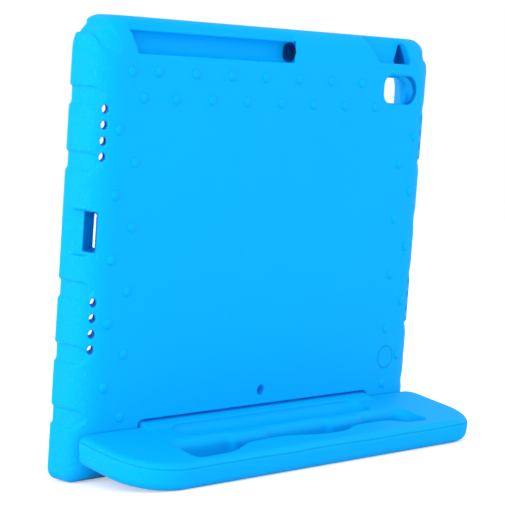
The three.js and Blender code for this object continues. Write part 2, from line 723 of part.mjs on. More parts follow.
// The case leans back about the hinge line. The handle slopes down until it meets the table.
const caseMesh = piece("case_body", caseBody(), foamBlue, 0.6);
caseMesh.position.copy(hinge).negate();
const leanGroup = new THREE.Group();
leanGroup.add(caseMesh);
leanGroup.add(piece("hinge_pin_right", hingePin(1), pinGrey, 0.4));
leanGroup.add(piece("hinge_pin_left", hingePin(-1), pinGrey, 0.4));
leanGroup.rotation.x = -THREE.MathUtils.degToRad(LEAN_DEG);

const edgeOut = HANDLE_REACH - HANDLE_EDGE;
const edgeUp = handleBottom + HANDLE_EDGE;
const edgeDrop = FOOT_RADIUS - HANDLE_EDGE;
const handleSlope = Math.asin(edgeDrop / Math.hypot(edgeOut, edgeUp)) + Math.atan2(edgeUp, edgeOut);
const handleGroup = new THREE.Group();
handleGroup.add(piece("handle_stand", handleStand(), handleBlue, 0.6));
handleGroup.add(piece("hinge_bush_right", hingeBush(1), bushWhite, 0.5));
handleGroup.add(piece("hinge_bush_left", hingeBush(-1), bushWhite, 0.5));
handleGroup.rotation.x = -handleSlope;

// The origin is under the middle of the whole object, on the table
const tabletCase = new THREE.Group();
tabletCase.add(leanGroup, handleGroup);
tabletCase.updateMatrixWorld(true);
const bounds = new THREE.Box3().setFromObject(tabletCase, true);
const middle = bounds.getCenter(new THREE.Vector3());
tabletCase.position.set(-middle.x, -middle.y, -bounds.min.z);
tabletCase.updateMatrixWorld(true);

export default tabletCase;
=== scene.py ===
"""Foam tablet case that stands on its folding handle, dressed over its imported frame."""
import json
from math import atan2, cos, pi, radians, sin, sqrt

import bmesh
import bpy
from bpy.props import FloatProperty, FloatVectorProperty, IntProperty, PointerProperty
from mathutils import Matrix, Vector


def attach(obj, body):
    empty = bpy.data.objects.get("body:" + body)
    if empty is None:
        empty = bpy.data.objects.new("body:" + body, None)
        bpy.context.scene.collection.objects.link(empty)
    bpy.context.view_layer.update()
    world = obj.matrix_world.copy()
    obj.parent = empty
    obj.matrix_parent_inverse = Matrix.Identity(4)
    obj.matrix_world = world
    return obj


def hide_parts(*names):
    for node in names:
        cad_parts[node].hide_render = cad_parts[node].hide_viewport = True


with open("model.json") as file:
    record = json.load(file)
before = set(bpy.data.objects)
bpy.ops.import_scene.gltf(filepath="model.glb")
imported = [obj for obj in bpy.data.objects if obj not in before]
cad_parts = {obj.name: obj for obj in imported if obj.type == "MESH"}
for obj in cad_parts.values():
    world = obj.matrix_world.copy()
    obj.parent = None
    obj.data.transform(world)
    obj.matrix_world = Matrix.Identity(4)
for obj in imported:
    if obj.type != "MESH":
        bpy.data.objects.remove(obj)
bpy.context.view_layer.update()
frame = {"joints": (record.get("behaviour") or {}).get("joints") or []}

bl_info = {
    "name": "Foam Tablet Case",
    "version": (1, 0, 0),
    "blender": (4, 5, 0),
    "location": "View3D > Sidebar > Foam Case",
    "description": "Models a foam tablet case with a folding handle stand",
    "category": "Object",
}

HINGE_PLACE = Vector(frame["joints"][0]["pos_m"])

# Shapes are drawn in millimetres: the case about the tablet's centre, the handle about the hinge
MM = 0.001
PAST = 1.0
SHARP = 0.01

# The tablet that the case holds
TABLET_HALF = 123.8
TABLET_TOP = 89.25
TABLET_CORNER = 18.0
TABLET_CLEARANCE = 0.3
BACK_WALL = 3.0
POCKET_FRONT = -9.2

# The hinge, in the case's frame
HINGE_Y = -14.5
FOOT_RADIUS = 17.5
NOTCH_HALF = 95.0
NOTCH_HEIGHT = 32.0
NOTCH_CORNER = 3.0
BORE_RADIUS = 2.8
SOCKET_DEPTH = 12.3

# Most faces that each moulding keeps, and the angle below which edges look smooth
CASE_FACES = 172000
HANDLE_FACES = 150000
SMOOTH_ANGLE = radians(35)

# How fine the foam's patterns are, in cycles to the metre
GRAIN_SCALE = 1500.0
PORE_SCALE = 520.0
CLOUD_SCALE = 16.0
GLINT_SCALE = 1000.0


# Settings

class FoamCaseSettings(bpy.types.PropertyGroup):
    """Sizes and colour of the case"""

    length: FloatProperty(
        name="Length", description="Distance between the two short sides",
        default=0.274, unit="LENGTH")
    top: FloatProperty(
        name="Top", description="Height of the top edge above the tablet's centre",
        default=0.1115, unit="LENGTH")
    bottom: FloatProperty(
        name="Bottom", description="Depth of the lower edge below the tablet's centre",
        default=0.1355, unit="LENGTH")
    thickness: FloatProperty(
        name="Thickness", description="Distance from the back to the front of the bezel",
        default=0.0256, unit="LENGTH")
    shoulder_width: FloatProperty(
        name="Shoulder width", description="How far the rounding reaches in over the back",
        default=0.0165, unit="LENGTH")
    shoulder_depth: FloatProperty(
        name="Shoulder depth", description="How far the rounding reaches down the sides",
        default=0.0105, unit="LENGTH")
    lean: FloatProperty(
        name="Lean", description="How far the case leans back on its handle",
        default=radians(6.5), subtype="ANGLE")
    grip_width: FloatProperty(
        name="Grip width", description="Width of a grip channel",
        default=0.010, unit="LENGTH")
    grip_pitch: FloatProperty(
        name="Grip pitch", description="Distance between the middles of two grip channels",
        default=0.0338, unit="LENGTH")
    grip_depth: FloatProperty(
        name="Grip depth", description="Depth of the grip channels",
        default=0.0015, unit="LENGTH")
    detail: FloatProperty(
        name="Detail", description="Size of the smallest step in the moulded surface",
        default=0.0007, unit="LENGTH", precision=5)
    softening: IntProperty(
        name="Softening", description="How many times the moulded edges are softened",
        default=3)
    colour: FloatVectorProperty(
        name="Colour", description="Colour of the foam",
        default=(0.0, 0.445, 0.956), subtype="COLOR", size=3, min=0.0, max=1.0)


class FoamHandleSettings(bpy.types.PropertyGroup):
    """Sizes and colour of the handle"""

    length: FloatProperty(
        name="Length", description="Length of the handle",
        default=0.279, unit="LENGTH")
    reach: FloatProperty(
        name="Reach", description="Distance from the hinge to the far edge",
        default=0.07036, unit="LENGTH")
    thickness: FloatProperty(
        name="Thickness", description="Thickness of the handle",
        default=0.015, unit="LENGTH")
    edge: FloatProperty(
        name="Edge", description="Rounding of the handle's edges",
        default=0.005, unit="LENGTH")
    slope: FloatProperty(
        name="Slope", description="How far the handle slopes down to the table",
        default=radians(13.6421), subtype="ANGLE")
    detail: FloatProperty(
        name="Detail", description="Size of the smallest step in the moulded surface",
        default=0.0006, unit="LENGTH", precision=5)
    softening: IntProperty(
        name="Softening", description="How many times the moulded edges are softened",
        default=4)
    colour: FloatVectorProperty(
        name="Colour", description="Colour of the foam",
        default=(0.0, 0.445, 0.956), subtype="COLOR", size=3, min=0.0, max=1.0)


class HingeSettings(bpy.types.PropertyGroup):
    """Colours of the hinge's plastic parts"""

    pin_colour: FloatVectorProperty(
        name="Pin colour", description="Colour of the hinge pins",
        default=(0.26, 0.27, 0.29), subtype="COLOR", size=3, min=0.0, max=1.0)
    bush_colour: FloatVectorProperty(
        name="Bush colour", description="Colour of the sleeves round the pins",
        default=(0.69, 0.71, 0.73), subtype="COLOR", size=3, min=0.0, max=1.0)


class StudioSettings(bpy.types.PropertyGroup):
    """Light and camera"""

    sky: FloatProperty(
        name="Sky", description="Strength of the even light near the horizon", default=1.35)
    overhead: FloatProperty(
        name="Overhead", description="Strength of the even light from above", default=0.9)
    lamp: FloatProperty(
        name="Lamp", description="Power of the large soft lamp", default=11.0, unit="POWER")
    lens: FloatProperty(
        name="Lens", description="Focal length of the camera", default=129.74,
        unit="CAMERA")


# Modelling helpers

def deselect():
    if bpy.context.object and bpy.context.object.mode != "OBJECT":
        bpy.ops.object.mode_set(mode="OBJECT")
    bpy.ops.object.select_all(action="DESELECT")


def pick(piece):
    deselect()
    piece.select_set(True)
    bpy.context.view_layer.objects.active = piece


def loft(name, rings):
    """Closed body extruded from ring to ring, each with the same number of points."""
    deselect()
    bpy.ops.mesh.primitive_circle_add(vertices=len(rings[0]), radius=PAST, fill_type="NGON")
    body = bpy.context.object
    body.name = name
    bpy.ops.object.mode_set(mode="EDIT")
    mesh = bmesh.from_edit_mesh(body.data)
    turn = mesh.verts.layers.int.new("turn")
    for vert in mesh.verts:
        vert[turn] = vert.index
        vert.co = rings[0][vert.index]
    for ring in rings[1:]:
        bpy.ops.mesh.extrude_region_move()
        mesh = bmesh.from_edit_mesh(body.data)
        turn = mesh.verts.layers.int["turn"]
        for vert in mesh.verts:
            if vert.select:
                vert.co = ring[vert[turn]]
    bpy.ops.mesh.select_all(action="SELECT")
    bpy.ops.mesh.normals_make_consistent(inside=False)
    bpy.ops.object.mode_set(mode="OBJECT")
    body.data.attributes.remove(body.data.attributes["turn"])
    return body


def rounded(left, right, low, high, radii, steps=12):
    """Outline of a rounded rectangle; the radii start at the lower right corner."""
    limit = min(right - left, high - low) / 2
    low_right, high_right, high_left, low_left = [min(radius, limit) for radius in radii]
    corners = (
        (right - low_right, low + low_right, low_right, -pi / 2),
        (right - high_right, high - high_right, high_right, 0),
        (left + high_left, high - high_left, high_left, pi / 2),
        (left + low_left, low + low_left, low_left, pi),
    )
    points = []
    for x, z, radius, start in corners:
        for k in range(steps + 1):
            angle = start + pi / 2 * k / steps
            points.append((x + radius * cos(angle), z + radius * sin(angle)))
    return points


def softened(corners, steps=6):
    """Outline whose corners, each (x, y, reach), are rounded over their reach."""
    points = []
    for k, (x, y, reach) in enumerate(corners):
        corner = Vector((x, y))
        before = Vector(corners[k - 1][:2])
        after = Vector(corners[(k + 1) % len(corners)][:2])
        start = corner + (before - corner).normalized() * reach
        end = corner + (after - corner).normalized() * reach
        for step in range(steps + 1):
            t = step / steps
            points.append(tuple(start * (1 - t) ** 2 + corner * 2 * t * (1 - t) + end * t * t))
    return points


def across(outline, x):
    """Ring in a plane across the case; the outline holds (y, z)."""
    return [Vector((x, y, z)) for y, z in outline]


def upright(outline, y, grow=0.0):
    """Ring in the plane of the back; the outline holds (x, z) and may grow outwards."""
    centre = Vector((sum(p[0] for p in outline), sum(p[1] for p in outline))) / len(outline)
    ring = []
    for point in outline:
        out = (Vector(point) - centre).normalized() * grow
        ring.append(Vector((point[0] + out.x, y, point[1] + out.y)))
    return ring


def level(outline, z):
    """Ring in the plane of the handle; the outline holds (x, y)."""
    return [Vector((x, y, z)) for x, y in outline]


def rod(name, radius, start, end, sides=32):
    """Round bar between two points."""
    start, end = Vector(start), Vector(end)
    deselect()
    bpy.ops.mesh.primitive_cylinder_add(
        vertices=sides, radius=radius, depth=(end - start).length,
        location=(start + end) / 2, rotation=(end - start).to_track_quat("Z", "Y").to_euler())
    bpy.context.object.name = name
    return bpy.context.object


def brick(name, low, high):
    """Square bar between two corners."""
    low, high = Vector(low), Vector(high)
    deselect()
    bpy.ops.mesh.primitive_cube_add(size=1, location=(low + high) / 2, scale=high - low)
    bpy.context.object.name = name
    return bpy.context.object


def worm(name, path, radius, sides=20, cap_steps=5):
    """Round bar along a path, with rounded ends."""
    path = [Vector(point) for point in path]
    first = (path[1] - path[0]).normalized()
    last = (path[-1] - path[-2]).normalized()
    stations = []
    for k in range(cap_steps):
        angle = pi / 2 * (k + 0.3) / cap_steps
        stations.append((path[0] - first * radius * cos(angle), first, radius * sin(angle)))
    for k, point in enumerate(path):
        before = path[max(k - 1, 0)]
        after = path[min(k + 1, len(path) - 1)]
        stations.append((point, (after - before).normalized(), radius))
    for k in range(cap_steps):
        angle = pi / 2 * (cap_steps - k - 0.7) / cap_steps
        stations.append((path[-1] + last * radius * cos(angle), last, radius * sin(angle)))
    rings = []
    for point, heading, reach in stations:
        side = heading.cross(Vector((1, 0.3, 0.2))).normalized()
        other = heading.cross(side)
        ring = []
        for k in range(sides):
            angle = 2 * pi * k / sides
            ring.append(point + (side * cos(angle) + other * sin(angle)) * reach)
        rings.append(ring)
    return loft(name, rings)


def join(name, pieces):
    pick(pieces[0])
    for piece in pieces:
        piece.select_set(True)
    bpy.ops.object.join()
    body = bpy.context.object
    body.name = name
    return body


def combine(body, tools, operation):
    """Applies one boolean for each tool and removes the tools."""
    for tool in tools:
        pick(body)
        step = body.modifiers.new("combine", "BOOLEAN")
        step.operation = operation
        step.solver = "EXACT"
        step.object = tool
        bpy.ops.object.modifier_apply(modifier=step.name)
        bpy.data.objects.remove(tool, do_unlink=True)
    return body


def cut(body, *tools):
    return combine(body, tools, "DIFFERENCE")


def merge(body, *tools):
    return combine(body, tools, "UNION")


def mirrored(piece):
    """A copy on the other side of the case, with its own mesh."""
    pick(piece)
    bpy.ops.object.duplicate(linked=False)
    twin = bpy.context.object
    bpy.ops.object.transform_apply(location=True, rotation=True, scale=True)
    bpy.ops.transform.mirror(constraint_axis=(True, False, False), center_override=(0, 0, 0))
    bpy.ops.object.transform_apply(location=True, rotation=True, scale=True)
    bpy.ops.object.mode_set(mode="EDIT")
    bpy.ops.mesh.select_all(action="SELECT")
    bpy.ops.mesh.normals_make_consistent(inside=False)
    bpy.ops.object.mode_set(mode="OBJECT")
    return twin


def finish_step(body, kind, **values):
    """Adds one modifier and applies it."""
    pick(body)
    step = body.modifiers.new(kind.lower(), kind)
    for key, value in values.items():
        setattr(step, key, value)
    bpy.ops.object.modifier_apply(modifier=step.name)


def mould(body, detail, softening, limit):
    """Makes the cut shape one even skin with soft edges, as foam comes out of its mould."""
    finish_step(body, "REMESH", mode="VOXEL", voxel_size=detail / MM)
    finish_step(body, "SMOOTH", factor=0.5, iterations=softening)
    finish_step(body, "TRIANGULATE")
    faces = len(body.data.polygons)
    if faces > limit:
        finish_step(body, "DECIMATE", ratio=limit / faces)


def set_down(body, placement):
    """Moves a piece drawn in millimetres to its place, held in its mesh."""
    pick(body)
    body.matrix_world = placement @ Matrix.Scale(MM, 4)
    bpy.ops.object.transform_apply(location=True, rotation=True, scale=True)
    bpy.ops.object.shade_smooth()


# Materials

class Wire:
    """A value on its way through a material; sums of wires add their Math nodes."""

    def __init__(self, finish, socket):
        self.finish = finish
        self.socket = socket

    def maths(self, operation, *values):
        sockets = dict(enumerate(values))
        return self.finish.add("ShaderNodeMath", {"operation": operation}, sockets)

    def __add__(self, other):
        return self.maths("ADD", self, other)

    def __sub__(self, other):
        return self.maths("SUBTRACT", self, other)

    def __rsub__(self, other):
        return self.maths("SUBTRACT", other, self)

    def __mul__(self, other):
        return self.maths("MULTIPLY", self, other)

    def __truediv__(self, other):
        return self.maths("DIVIDE", self, other)

    def __abs__(self):
        return self.maths("ABSOLUTE", self)

    __radd__ = __add__
    __rmul__ = __mul__

    def fade(self, low, high, start=0.0, end=1.0):
        """Goes from start to end as the value goes from low to high."""
        return self.finish.add(
            "ShaderNodeMapRange", {"interpolation_type": "SMOOTHSTEP"},
            {"Value": self, "From Min": low, "From Max": high, "To Min": start, "To Max": end},
            "Result")


class Finish:
    """One procedural material."""

    def __init__(self, name, **constants):
        self.material = bpy.data.materials.new(name)
        self.material.use_nodes = True
        self.nodes = self.material.node_tree.nodes
        self.links = self.material.node_tree.links
        self.shader = self.nodes["Principled BSDF"]
        for key, value in constants.items():
            self.shader.inputs[key.replace("_", " ")].default_value = value

    def add(self, kind, settings=None, sockets=None, output=0):
        node = self.nodes.new(kind)
        for key, value in (settings or {}).items():
            setattr(node, key, value)
        for key, value in (sockets or {}).items():
            self.feed(node.inputs[key], value)
        return Wire(self, node.outputs[output])

    def feed(self, socket, value):
        if isinstance(value, Wire):
            self.links.new(value.socket, socket)
        else:
            socket.default_value = value

    def place(self, origin, turn):
        """Object coordinates in metres, turned back into the piece's own drawing frame."""
        coordinates = self.add("ShaderNodeTexCoord", output="Object")
        moved = self.add(
            "ShaderNodeVectorMath", {"operation": "SUBTRACT"}, {0: coordinates, 1: origin})
        return self.add(
            "ShaderNodeMapping", {"vector_type": "POINT"},
            {"Vector": moved, "Rotation": (turn, 0, 0)})

    def noise(self, place, scale, detail=2.0, roughness=0.5):
        return self.add(
            "ShaderNodeTexNoise", None,
            {"Vector": place, "Scale": scale, "Detail": detail, "Roughness": roughness})

    def split(self, place):
        node = self.nodes.new("ShaderNodeSeparateXYZ")
        self.feed(node.inputs[0], place)
        return [Wire(self, output) for output in node.outputs]

    def within(self, value, low, high, soft=0.0004):
        """One between two places, nought outside them."""
        return value.fade(low - soft, low + soft) * value.fade(high - soft, high + soft, 1.0, 0.0)

    def blend(self, factor, first, second):
        node = self.nodes.new("ShaderNodeMix")
        node.data_type = "RGBA"
        self.feed(node.inputs["Factor"], factor)
        for name, value in (("A", first), ("B", second)):
            socket = next(s for s in node.inputs if s.name == name and s.type == "RGBA")
            self.feed(socket, value)
        return Wire(self, next(s for s in node.outputs if s.type == "RGBA"))

    def bump(self, height, distance, strength=1.0):
        return self.add(
            "ShaderNodeBump", None,
            {"Height": height, "Distance": distance, "Strength": strength})


def shaded(colour, share):
    """The colour made lighter or darker by a share."""
    return tuple(min(part * share, 1.0) for part in colour) + (1.0,)


def foam_finish(name, colour, origin, turn):
    """Closed-cell foam: a very fine grain, faint clouds and sparse pale glints."""
    foam = Finish(name, Specular_IOR_Level=0.05, Coat_Roughness=0.3)
    place = foam.place(origin, turn)
    grain = foam.noise(place, GRAIN_SCALE, 2.0, 0.6)
    pores = foam.noise(place, PORE_SCALE, 3.0, 0.55)
    clouds = foam.noise(place, CLOUD_SCALE, 3.0, 0.5)
    tone = 0.5 + (grain - 0.5) * 0.5 + (clouds - 0.5) * 0.5
    skin = foam.blend(tone, shaded(colour, 0.965), shaded(colour, 1.03))
    foam.skin = skin
    foam.relief = grain * 0.5 + pores * 0.5
    foam.at = place
    foam.feed(foam.shader.inputs["Roughness"], 0.6 + (pores - 0.5) * 0.16)
    glint = foam.noise(place, GLINT_SCALE, 1.0, 0.5).fade(0.6, 0.72)
    ends = abs(foam.split(place)[0]).fade(0.124, 0.134)
    foam.feed(foam.shader.inputs["Coat Weight"], glint * (0.05 + ends * 0.4))
    return foam


def plastic_finish(name, colour):
    """Moulded plastic with a faint satin texture."""
    plastic = Finish(name, Specular_IOR_Level=0.4)
    place = plastic.add("ShaderNodeTexCoord", output="Object")
    grain = plastic.noise(place, 900.0, 2.0, 0.5)
    skin = plastic.blend(grain, shaded(colour, 0.95), shaded(colour, 1.05))
    plastic.feed(plastic.shader.inputs["Base Color"], skin)
    plastic.feed(plastic.shader.inputs["Roughness"], 0.42 + (grain - 0.5) * 0.2)
    plastic.feed(plastic.shader.inputs["Normal"], plastic.bump(grain, 0.00002))
    return plastic.material


def case_finish(colour, origin, lean):
    """Foam with the fine ring of the flush disc, measured from the hinge. The ring is a bumped
    groove whose dark line is painted shade, and the insides of the deep openings are painted shade.
    """
    foam = foam_finish("case_foam", colour, origin, lean)
    x, y, z = foam.split(foam.at)
    aside = x - DISC_X * MM
    above = z - (DISC_Z + HINGE_BELOW_TABLET) * MM
    spread = aside * aside + above * above
    away = spread.maths("SQRT", spread)
    # Painted shade: the disc's ring groove is painted as a thin dark line on the back, besides its
    # bump
    line = abs(away - DISC_RADIUS * MM).fade(*DISC_GROOVE_SHADE, 1.0, 0.0)
    ring = line * y.fade(*BACK_SKIN)
    dark = shaded(colour, 0.5)
    deep = None
    # Painted shade: the insides of the deep openings are mixed seven tenths of the way to a dark
    # navy
    for low, high in PAINTED_SHADE_PLACES:
        inside = foam.within(x, low[0], high[0]) * foam.within(y, low[1], high[1])
        inside = inside * foam.within(z, low[2], high[2])
        deep = inside if deep is None else deep.maths("MAXIMUM", deep, inside)
    skin = foam.blend(deep * 0.7, foam.skin, PAINTED_SHADE_COLOUR)
    foam.feed(foam.shader.inputs["Base Color"], foam.blend(ring * 0.5, skin, dark))
    foam.feed(foam.shader.inputs["Normal"], foam.bump(foam.relief - ring * 5.0, 0.00005))
    return foam.material


def handle_finish(colour, origin, slope):
    foam = foam_finish("handle_foam", colour, origin, slope)
    x, y, height = foam.split(foam.at)
    wobble = (foam.noise(foam.at, 30.0, 1.0, 0.5) - 0.5) * 0.0012
    outside = y.fade(0.060, 0.064)
    outside = outside.maths("MAXIMUM", outside, abs(x).fade(0.126, 0.130))
    seam = abs(height + wobble - PARTING_HEIGHT * MM).fade(0.0001, 0.0004, 1.0, 0.0) * outside
    dark = shaded(colour, 0.72)
    foam.feed(foam.shader.inputs["Base Color"], foam.blend(seam * 0.7, foam.skin, dark))
    foam.feed(foam.shader.inputs["Normal"], foam.bump(foam.relief - seam * 4.0, 0.00005))
    return foam.material


# The case

# Window over the screen
SIDE_OVERLAP = 4.4
TOP_OVERLAP = 2.0
WINDOW_CORNER = 9.0
BEVEL_WIDTH = 10.0
BEVEL_START = 1.5
RIM_NOSE = 2.0
RIM_NOSE_SHARE = 0.3

# Roundings of the case
TOP_ROUNDING = 8.0
FRONT_ROUNDING = 3.5
UPPER_CORNER = 18.0
LOWER_CORNER = 6.0

# Grip channels
GRIP_MIDDLE_Z = 1.5
GRIPS_ABOVE = 2
GRIPS_BELOW = 3
GRIP_END = -2.3
WIDE_GRIP_WIDTH = 24.0
GRIP_REACH = 20.0
CORNER_GRIP_RADIUS = 5.2
CORNER_GRIP_PATH = (
    (132.2, -29, 106.2), (132.6, -12, 105.8), (132.6, -7.1, 104.2),
    (131.9, -4.1, 101.4), (130.4, -2.2, 98.4), (128.2, -1.0, 96.0),
)

# Stylus trough, its hole and two vents beside it
TROUGH_START = -9.0
TROUGH_END = 111.0
TROUGH_LOW = 92.45
TROUGH_HIGH = 104.15
TROUGH_DEPTH = 9.0
TROUGH_SLANT = 6.2
LEDGE_DEPTH = 2.4
LEDGE_SLANT = 5.2
STYLUS_HOLE_RADIUS = 5.7
STYLUS_HOLE_LENGTH = 50.0
STYLUS_HOLE_Y = -6.3
STYLUS_HOLE_Z = 98.6
VENT_PLACES = ((54.1, 92.0), (21.1, 92.2))
VENT_RADIUS = 0.8
VENT_DEPTH = 3.0
VENT_SIDES = 12

# Button window
BUTTON_SILL_Z = 96.05
BUTTON_FAR = -114.0
BUTTON_NEAR = -84.2
BUTTON_DEPTH = 5.0
BUTTON_NEAR_SLANT = 17.0
BUTTON_FAR_SLANT = 10.5
BUTTON_SLOT_WIDTH = 11.5
BUTTON_SLOT_TIP = 0.9
BUTTON_SLOT_HEIGHT = 12.0
BUTTON_SLOT_SLANT = 3.6
BUTTON_SLOT_DEPTH = 11.5
BUTTON_REACH = 2.0
DUCT_CLEARANCE = 0.3

# Camera opening
CAMERA_X = -105.5
CAMERA_Z = 80.45
CAMERA_WIDTH = 29.0
CAMERA_HEIGHT = 16.0
CAMERA_INNER_CORNER = 7.0
CAMERA_FLARE = 1.2
CAMERA_FAR_FLARE = 2.4
CAMERA_LIP_REACH = 2.2
CAMERA_LIP_DEPTH = 5.0
CAMERA_LIP_DROP = 1.5

# Port opening
PORT_Z = -1.0
PORT_HEIGHT = 20.5
PORT_SLOT_WIDTH = 7.7
PORT_BACK = -2.8
PORT_DISH_START = -19.0
PORT_DISH_FULL = -10.0
PORT_DISH_HEIGHT = 24.0
PORT_DISH_DROP = 0.8
PORT_DISH_DEPTH = 4.0
PORT_DISH_STEPS = 12
PORT_DISH_CORNER = 2.0
PORT_CORNER = 1.6
PORT_LIP_LOW = (117.0, -16.0)
PORT_LIP_HIGH = (125.6, -9.5)
PORT_LIP_HALF = 9.5

# Speaker holes, microphone hole and the flush disc
SPEAKER_COUNT = 4
SPEAKER_PITCH = 8.3
SPEAKER_RADIUS = 2.45
SPEAKER_SQUASH = 0.74
SPEAKER_OFFSET = 50.5
SPEAKER_TILT = radians(56)
SPEAKER_FROM_SIDE = 6.7
SPEAKER_BELOW_BACK = 2.4
SPEAKER_OUT = 8.0
SPEAKER_IN = 22.0
SPEAKER_SIDES = 24
MICROPHONE_Z = -95.15
MICROPHONE_RADIUS = 2.9
MICROPHONE_DEPTH = 7.0
MICROPHONE_DUCT_HALF = 1.5
DISC_X = -110.2
DISC_Z = -83.9
DISC_RADIUS = 6.85
# Painted shade: width over which the disc's ring groove is painted dark on the back
DISC_GROOVE_SHADE = (0.0002, 0.0006)
BACK_SKIN = (0.010, 0.012)
HINGE_BELOW_TABLET = 118.0

# Raised dots
DOT_RADIUS = 2.8
DOT_HEIGHT = 1.1
DOT_SIDES = 24
DOT_RINGS = 12
DOT_PITCH_X = 27.5
DOT_PITCH_Z = 33.95
DOT_ROW_COUNT = 7
DOT_ROW_Z = 69.5
DOT_UPPER_ROW_RISE = 13.9
DOT_ROW_END = 105.7
DOT_EXTRA = (115.2, 82.9)
DOT_COLUMN_X = 109.0
DOT_OUTER_COLUMN_X = 121.7
DOT_COLUMN_COUNT = 5


# Painted shade inside the deep openings: a dark navy, and the boxes where it is painted, measured
# from the hinge in metres
PAINTED_SHADE_COLOUR = (0.0, 0.02, 0.3, 1.0)
PAINTED_SHADE_PLACES = (
    ((0.1228, 0.0038, 0.1062), (0.1334, 0.0120, 0.1278)),
    ((-0.0590, 0.0020, 0.2100), (-0.0085, 0.0138, 0.2230)),
    ((-0.1145, 0.0025, 0.2142), (-0.1020, 0.0092, 0.2262)),
    ((-0.1215, 0.0110, 0.1895), (-0.1120, 0.0136, 0.2068)),
)


class CaseShape:
    """The case's form in millimetres: x across, y out of the back, z up."""

    def __init__(self, settings):
        self.half = settings.length / MM / 2
        self.top = settings.top / MM
        self.bottom = -settings.bottom / MM
        self.front = -settings.thickness / MM
        self.shoulder_width = settings.shoulder_width / MM
        self.shoulder_depth = settings.shoulder_depth / MM
        self.grip_width = settings.grip_width / MM
        self.grip_pitch = settings.grip_pitch / MM
        self.grip_depth = settings.grip_depth / MM
        self.hinge_z = self.bottom + FOOT_RADIUS

    def drawn_in(self, y):
        """How far the outline is drawn in at one depth: at its sides, top and foot."""
        def quarter(width, depth):
            t = min(max((y + depth) / depth, 0), 1)
            return width * (1 - sqrt(1 - t * t))

        nose = max(self.front + FRONT_ROUNDING - y, 0)
        front = FRONT_ROUNDING - sqrt(max(FRONT_ROUNDING ** 2 - nose ** 2, 0))
        behind = max(y - HINGE_Y, 0)
        side = front + quarter(self.shoulder_width, self.shoulder_depth)
        top = front + quarter(TOP_ROUNDING, TOP_ROUNDING)
        foot = front + FOOT_RADIUS - sqrt(FOOT_RADIUS ** 2 - behind ** 2)
        return side, top, foot

    def pillow(self, name, inset=0.0, front_steps=6, shoulder_steps=18):
        """The outer form, or the same form drawn in all round."""
        depths = []
        for k in range(front_steps + 1):
            depths.append(self.front + FRONT_ROUNDING * (1 - cos(pi / 2 * k / front_steps)))
        for k in range(shoulder_steps + 1):
            depths.append(-self.shoulder_depth * (1 - sin(pi / 2 * k / shoulder_steps)))
        rings = []
        for y in depths:
            side, top, foot = self.drawn_in(y)
            half = self.half - side - inset
            radii = (LOWER_CORNER, UPPER_CORNER, UPPER_CORNER, LOWER_CORNER)
            outline = rounded(
                -half, half, self.bottom + foot + inset, self.top - top - inset, radii, 16)
            rings.append(upright(outline, y))
        return loft(name, rings)

    def grip_band(self, width, side, z):
        """Bar across one side wall, round at its back end."""
        outline = rounded(
            self.front - PAST, GRIP_END, z - width / 2, z + width / 2,
            (width / 2, width / 2, SHARP, SHARP), 10)
        near = self.half - GRIP_REACH
        far = self.half + GRIP_REACH
        return loft("grip_band", [across(outline, side * near), across(outline, side * far)])

    def grip_channels(self):
        """The space that the channels take from the outer form."""
        bands = []
        for side in (1, -1):
            for k in range(-GRIPS_BELOW, GRIPS_ABOVE + 1):
                width = self.grip_width if k else WIDE_GRIP_WIDTH
                if k or side < 0:
                    z = GRIP_MIDDLE_Z + k * self.grip_pitch
                    bands.append(self.grip_band(width, side, z))
        corner = worm("corner_grip", CORNER_GRIP_PATH, CORNER_GRIP_RADIUS)
        bands.append(mirrored(corner))
        bands.append(corner)
        channels = join("grip_channels", bands)
        return cut(channels, self.pillow("grip_core", self.grip_depth))

    def tablet_space(self):
        """Pocket for the tablet and the bevelled window in front of its screen."""
        length = TABLET_HALF + TABLET_CLEARANCE
        height = TABLET_TOP + TABLET_CLEARANCE
        outline = rounded(-length, length, -height, height, (TABLET_CORNER,) * 4)
        pocket = loft("pocket", [upright(outline, POCKET_FRONT), upright(outline, -BACK_WALL)])

        def step(y, extra):
            side = TABLET_HALF - SIDE_OVERLAP + extra
            up = TABLET_TOP - TOP_OVERLAP + extra
            return upright(rounded(-side, side, -up, up, (WINDOW_CORNER + extra,) * 4), y)

        nose = RIM_NOSE * RIM_NOSE_SHARE
        window = loft("window", [
            step(-BACK_WALL - 3, 0),
            step(POCKET_FRONT - BEVEL_START, 0),
            step(self.front + RIM_NOSE, BEVEL_WIDTH),
            step(self.front + nose, BEVEL_WIDTH + nose),
            step(self.front - PAST, BEVEL_WIDTH + RIM_NOSE),
        ])
        return pocket, window

    def stylus_rest(self):
        """Half-round trough with the hole that takes the stylus's end."""
        width = TROUGH_HIGH - TROUGH_LOW
        radius = width / 2
        section = rounded(
            -TROUGH_DEPTH, PAST, TROUGH_LOW, TROUGH_HIGH, (SHARP, SHARP, radius, radius), 14)

        def ring(x, slant):
            return [Vector((x + slant * (z - TROUGH_LOW) / width, y, z)) for y, z in section]

        trough = loft("trough", [ring(TROUGH_START, 0), ring(TROUGH_END, TROUGH_SLANT)])
        high = self.top + PAST
        end = TROUGH_END + TROUGH_SLANT
        ledge = [
            (TROUGH_START, TROUGH_HIGH - PAST), (end, TROUGH_HIGH - PAST),
            (end + LEDGE_SLANT, high), (TROUGH_START, high),
        ]
        ledge = loft("ledge", [upright(ledge, -LEDGE_DEPTH), upright(ledge, PAST)])
        hole = rod(
            "stylus_hole", STYLUS_HOLE_RADIUS,
            (TROUGH_START - STYLUS_HOLE_LENGTH, STYLUS_HOLE_Y, STYLUS_HOLE_Z),
            (TROUGH_START + PAST, STYLUS_HOLE_Y, STYLUS_HOLE_Z))
        vents = [
            rod("vent", VENT_RADIUS, (x, -VENT_DEPTH, z), (x, PAST, z), VENT_SIDES)
            for x, z in VENT_PLACES]
        return trough, ledge, hole, *vents

